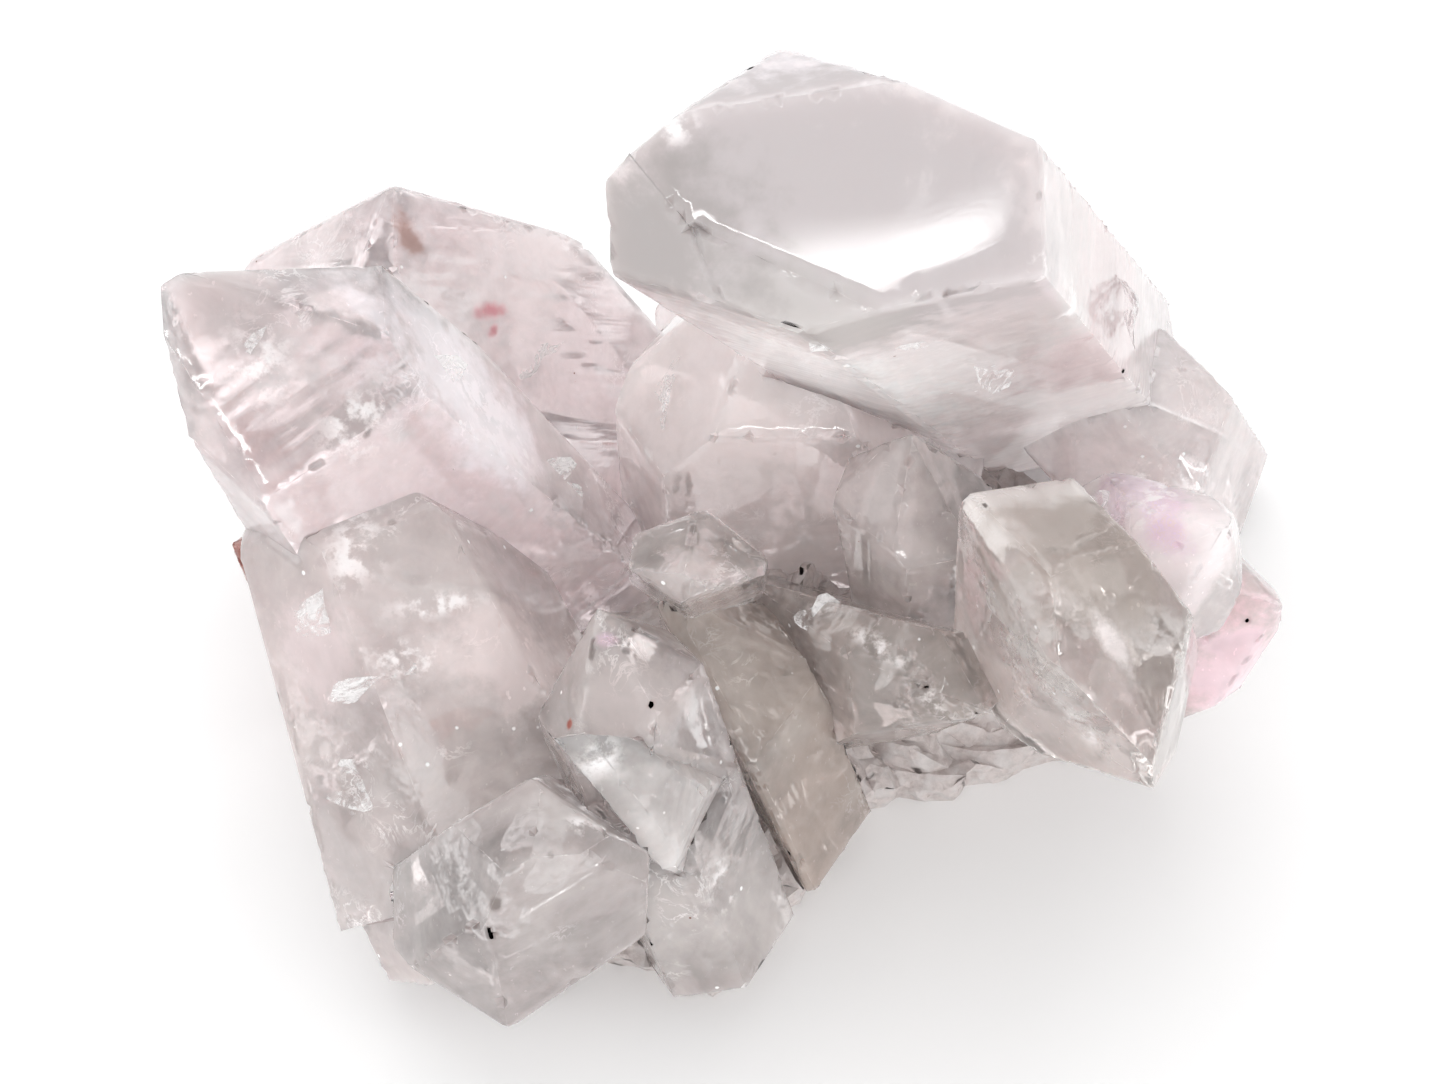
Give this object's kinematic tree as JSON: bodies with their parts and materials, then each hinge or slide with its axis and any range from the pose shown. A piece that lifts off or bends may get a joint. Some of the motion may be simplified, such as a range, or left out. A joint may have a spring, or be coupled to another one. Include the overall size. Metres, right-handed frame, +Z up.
{
  "type": "quartz crystal cluster",
  "caption": "Natural cluster of pale, cloudy to clear quartz crystals of mixed sizes, growing out of a rough stone base in several directions.",
  "frame": {"origin": "middle of the bounding box, at the surface the cluster rests on", "axes": "+Z up, +X to the right along the cluster's longest side, +Y to the back, away from the front crystals"},
  "size_m": [0.1402, 0.1086, 0.0957],
  "materials": {
    "pale_quartz": "clear to cloudy, glossy natural faces",
    "rosy_quartz": "cloudy with a faint pink tint, glossy natural faces",
    "grey_quartz": "cloudy grey, glossy natural faces",
    "smoky_quartz": "lightly smoky, glossy natural faces",
    "milky_quartz": "milky with white veils, glossy striated faces",
    "rainbow_quartz": "clear with iridescent inner cracks",
    "iron_stained_quartz": "red-brown iron staining, satin",
    "host_rock": "rough crystalline quartz rock, matt"
  },
  "bodies": {
    "root": {"great_crystal": "pale_quartz", "front_crystal": "grey_quartz", "small_front_crystal": "grey_quartz", "middle_crystal": "grey_quartz", "smoky_crystal": "smoky_quartz", "upper_left_crystal": "rosy_quartz", "left_crystal": "milky_quartz", "iridescent_crystal": "rainbow_quartz", "far_right_crystal": "rosy_quartz", "flat_crystal": "smoky_quartz", "grey_crystal": "grey_quartz", "great_foot_crystal": "pale_quartz", "front_column": "grey_quartz", "middle_column": "smoky_quartz", "left_foot_crystal": "milky_quartz", "back_crystal": "rosy_quartz", "core_crystal": "rosy_quartz", "red_crystal": "iron_stained_quartz", "rear_left_crystal": "pale_quartz", "rear_middle_crystal": "milky_quartz", "rear_right_crystal": "pale_quartz", "stone_base": "host_rock"}
  },
  "joints": []
}
